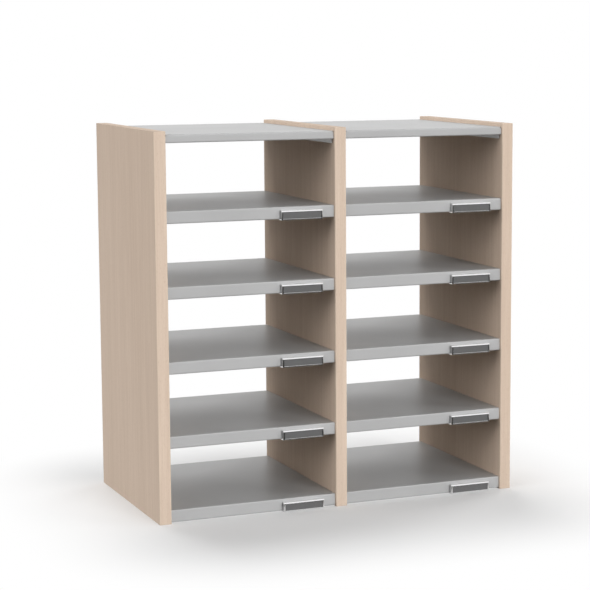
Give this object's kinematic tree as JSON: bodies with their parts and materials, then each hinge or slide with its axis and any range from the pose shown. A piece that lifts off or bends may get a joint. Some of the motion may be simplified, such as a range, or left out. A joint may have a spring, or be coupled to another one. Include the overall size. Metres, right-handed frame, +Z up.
{
  "type": "pigeonhole mail sorter",
  "caption": "Open pigeonhole mail sorter: beech laminate uprights carry columns of grey folded trays on rails, with label holders on the shelf lips and loose shelves that pull out.",
  "frame": {"origin": "on the floor at the middle of the footprint, which reaches from the label holders to the back edges", "axes": "+Z up, -Y towards the front with the label holders, +X to the right of a person facing the front"},
  "size_m": [0.788, 0.411, 0.784],
  "materials": {
    "laminate": "pale beech laminate, satin, fine upright grain",
    "grey_sheet": "light grey powder coat, fine texture",
    "bright_metal": "bright brushed metal",
    "label_strip": "dark grey bare strip, satin"
  },
  "bodies": {
    "frame": {"left_upright": "laminate", "centre_upright": "laminate", "right_upright": "laminate", "left_top_panel": "grey_sheet", "left_top_rail_outer": "grey_sheet", "left_top_rail_inner": "grey_sheet", "left_shelf_rail_1_outer": "grey_sheet", "left_shelf_rail_1_inner": "grey_sheet", "left_shelf_rail_2_outer": "grey_sheet", "left_shelf_rail_2_inner": "grey_sheet", "left_shelf_rail_3_outer": "grey_sheet", "left_shelf_rail_3_inner": "grey_sheet", "left_shelf_rail_4_outer": "grey_sheet", "left_shelf_rail_4_inner": "grey_sheet", "left_shelf_rail_5_outer": "grey_sheet", "left_shelf_rail_5_inner": "grey_sheet", "left_shelf_5": "grey_sheet", "left_label_holder_5": "bright_metal", "right_top_panel": "grey_sheet", "right_top_rail_outer": "grey_sheet", "right_top_rail_inner": "grey_sheet", "right_shelf_rail_1_outer": "grey_sheet", "right_shelf_rail_1_inner": "grey_sheet", "right_shelf_rail_2_outer": "grey_sheet", "right_shelf_rail_2_inner": "grey_sheet", "right_shelf_rail_3_outer": "grey_sheet", "right_shelf_rail_3_inner": "grey_sheet", "right_shelf_rail_4_outer": "grey_sheet", "right_shelf_rail_4_inner": "grey_sheet", "right_shelf_rail_5_outer": "grey_sheet", "right_shelf_rail_5_inner": "grey_sheet", "right_shelf_5": "grey_sheet", "right_label_holder_5": "bright_metal"},
    "left_tray_1": {"left_shelf_1": "grey_sheet", "left_label_holder_1": "bright_metal"},
    "left_strip_1": {"left_label_strip_1": "label_strip"},
    "left_tray_2": {"left_shelf_2": "grey_sheet", "left_label_holder_2": "bright_metal"},
    "left_strip_2": {"left_label_strip_2": "label_strip"},
    "left_tray_3": {"left_shelf_3": "grey_sheet", "left_label_holder_3": "bright_metal"},
    "left_strip_3": {"left_label_strip_3": "label_strip"},
    "left_tray_4": {"left_shelf_4": "grey_sheet", "left_label_holder_4": "bright_metal"},
    "left_strip_4": {"left_label_strip_4": "label_strip"},
    "left_strip_5": {"left_label_strip_5": "label_strip"},
    "right_tray_1": {"right_shelf_1": "grey_sheet", "right_label_holder_1": "bright_metal"},
    "right_strip_1": {"right_label_strip_1": "label_strip"},
    "right_tray_2": {"right_shelf_2": "grey_sheet", "right_label_holder_2": "bright_metal"},
    "right_strip_2": {"right_label_strip_2": "label_strip"},
    "right_tray_3": {"right_shelf_3": "grey_sheet", "right_label_holder_3": "bright_metal"},
    "right_strip_3": {"right_label_strip_3": "label_strip"},
    "right_tray_4": {"right_shelf_4": "grey_sheet", "right_label_holder_4": "bright_metal"},
    "right_strip_4": {"right_label_strip_4": "label_strip"},
    "right_strip_5": {"right_label_strip_5": "label_strip"}
  },
  "joints": [
    {"name": "left_shelf_1_pull", "type": "slide", "parent": "frame", "child": "left_tray_1", "axis": [0, -1, 0], "range_m": [0, 0.41]},
    {"name": "left_label_strip_1_slide", "type": "slide", "parent": "left_tray_1", "child": "left_strip_1", "axis": [-1, 0, 0], "range_m": [0, 0.09]},
    {"name": "left_shelf_2_pull", "type": "slide", "parent": "frame", "child": "left_tray_2", "axis": [0, -1, 0], "range_m": [0, 0.41]},
    {"name": "left_label_strip_2_slide", "type": "slide", "parent": "left_tray_2", "child": "left_strip_2", "axis": [-1, 0, 0], "range_m": [0, 0.09]},
    {"name": "left_shelf_3_pull", "type": "slide", "parent": "frame", "child": "left_tray_3", "axis": [0, -1, 0], "range_m": [0, 0.41]},
    {"name": "left_label_strip_3_slide", "type": "slide", "parent": "left_tray_3", "child": "left_strip_3", "axis": [-1, 0, 0], "range_m": [0, 0.09]},
    {"name": "left_shelf_4_pull", "type": "slide", "parent": "frame", "child": "left_tray_4", "axis": [0, -1, 0], "range_m": [0, 0.41]},
    {"name": "left_label_strip_4_slide", "type": "slide", "parent": "left_tray_4", "child": "left_strip_4", "axis": [-1, 0, 0], "range_m": [0, 0.09]},
    {"name": "left_label_strip_5_slide", "type": "slide", "parent": "frame", "child": "left_strip_5", "axis": [-1, 0, 0], "range_m": [0, 0.09]},
    {"name": "right_shelf_1_pull", "type": "slide", "parent": "frame", "child": "right_tray_1", "axis": [0, -1, 0], "range_m": [0, 0.41]},
    {"name": "right_label_strip_1_slide", "type": "slide", "parent": "right_tray_1", "child": "right_strip_1", "axis": [-1, 0, 0], "range_m": [0, 0.09]},
    {"name": "right_shelf_2_pull", "type": "slide", "parent": "frame", "child": "right_tray_2", "axis": [0, -1, 0], "range_m": [0, 0.41]},
    {"name": "right_label_strip_2_slide", "type": "slide", "parent": "right_tray_2", "child": "right_strip_2", "axis": [-1, 0, 0], "range_m": [0, 0.09]},
    {"name": "right_shelf_3_pull", "type": "slide", "parent": "frame", "child": "right_tray_3", "axis": [0, -1, 0], "range_m": [0, 0.41]},
    {"name": "right_label_strip_3_slide", "type": "slide", "parent": "right_tray_3", "child": "right_strip_3", "axis": [-1, 0, 0], "range_m": [0, 0.09]},
    {"name": "right_shelf_4_pull", "type": "slide", "parent": "frame", "child": "right_tray_4", "axis": [0, -1, 0], "range_m": [0, 0.41]},
    {"name": "right_label_strip_4_slide", "type": "slide", "parent": "right_tray_4", "child": "right_strip_4", "axis": [-1, 0, 0], "range_m": [0, 0.09]},
    {"name": "right_label_strip_5_slide", "type": "slide", "parent": "frame", "child": "right_strip_5", "axis": [-1, 0, 0], "range_m": [0, 0.09]}
  ]
}
